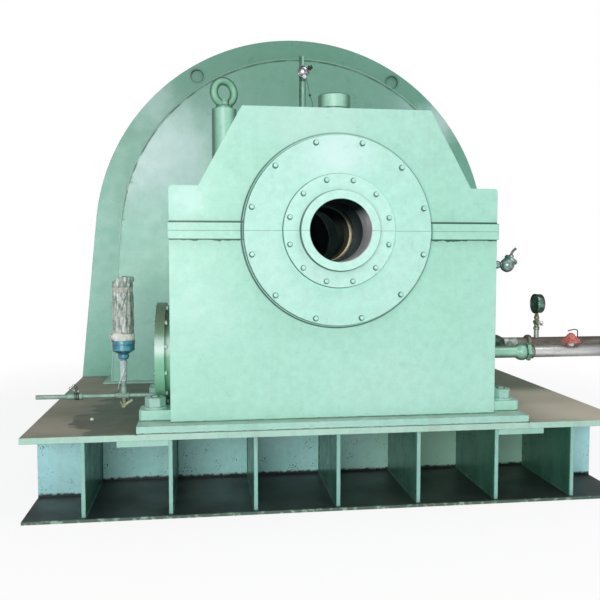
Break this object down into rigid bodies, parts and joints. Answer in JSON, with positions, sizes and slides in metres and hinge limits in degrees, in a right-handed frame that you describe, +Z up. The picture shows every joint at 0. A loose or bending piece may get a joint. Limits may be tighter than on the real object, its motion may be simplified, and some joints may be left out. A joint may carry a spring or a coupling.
{
  "type": "horizontal hydroelectric generator",
  "caption": "Horizontal water turbine generator: arched stator frame and box bearing pedestals on a ribbed welded base, with oil and cooling water fittings.",
  "frame": {"origin": "centre of the base's underside, where the machine rests", "axes": "+Y along the shaft line from the front bearing to the back, +Z up, +X to the right of someone facing the front bearing"},
  "size_m": [2.766, 3.906, 2.377],
  "materials": {
    "machine_green": "gloss enamel over cast and welded steel, dusty on flat tops",
    "deck_bare": "dusty primer with oil stains, green along the edges",
    "polished_steel": "machined and lightly oiled",
    "bearing_metal": "turned",
    "pipe_grey": "worn grey-green paint",
    "pipe_green": "paint",
    "cast_grey": "cast cases of the thermometers and the gauge, dull",
    "oiler_blue": "moulded",
    "foam_white": "soft, matte",
    "bottle_film": "wrapped in crumpled film",
    "cock_brass": "dull",
    "vent_red": "faded"
  },
  "bodies": {
    "machine": {"base_top_plate": "deck_bare", "base_bottom_plate": "machine_green", "base_ribs": "machine_green", "base_cross_webs": "machine_green", "base_side_webs": "machine_green", "base_end_plates": "machine_green", "base_pads": "machine_green", "sole_plates": "machine_green", "anchor_bolts": "machine_green", "front_pedestal_lower": "machine_green", "front_pedestal_cap": "machine_green", "rear_pedestal_lower": "machine_green", "rear_pedestal_cap": "machine_green", "round_covers": "machine_green", "shaft_seals": "machine_green", "bearing_shells": "polished_steel", "bearing_liners": "bearing_metal", "cooler_covers": "machine_green", "top_fittings": "machine_green", "instruments": "cast_grey", "oil_line": "pipe_green", "oiler_base": "oiler_blue", "oiler_collar": "foam_white", "oiler_bottle": "bottle_film", "cock_bodies": "cock_brass", "water_pipe_front": "pipe_grey", "water_pipe_rear": "pipe_grey", "vent_cap": "vent_red", "frame_skin": "machine_green", "frame_front_wall": "machine_green", "frame_rear_wall": "machine_green", "front_end_shield": "machine_green", "rear_end_shield": "machine_green", "foot_strips": "machine_green"},
    "drain_handle": {"drain_lever": "cock_brass"},
    "gauge_handle": {"gauge_lever": "cock_brass"}
  },
  "joints": [
    {"name": "drain_cock_turn", "type": "hinge", "parent": "machine", "child": "drain_handle", "pos_m": [-0.927, -1.52, 0.394], "axis": [0, -1, 0], "range_deg": [0, 90]},
    {"name": "gauge_cock_turn", "type": "hinge", "parent": "machine", "child": "gauge_handle", "pos_m": [1.099, -1.44, 0.742], "axis": [0, -1, 0], "range_deg": [-90, 0]}
  ]
}
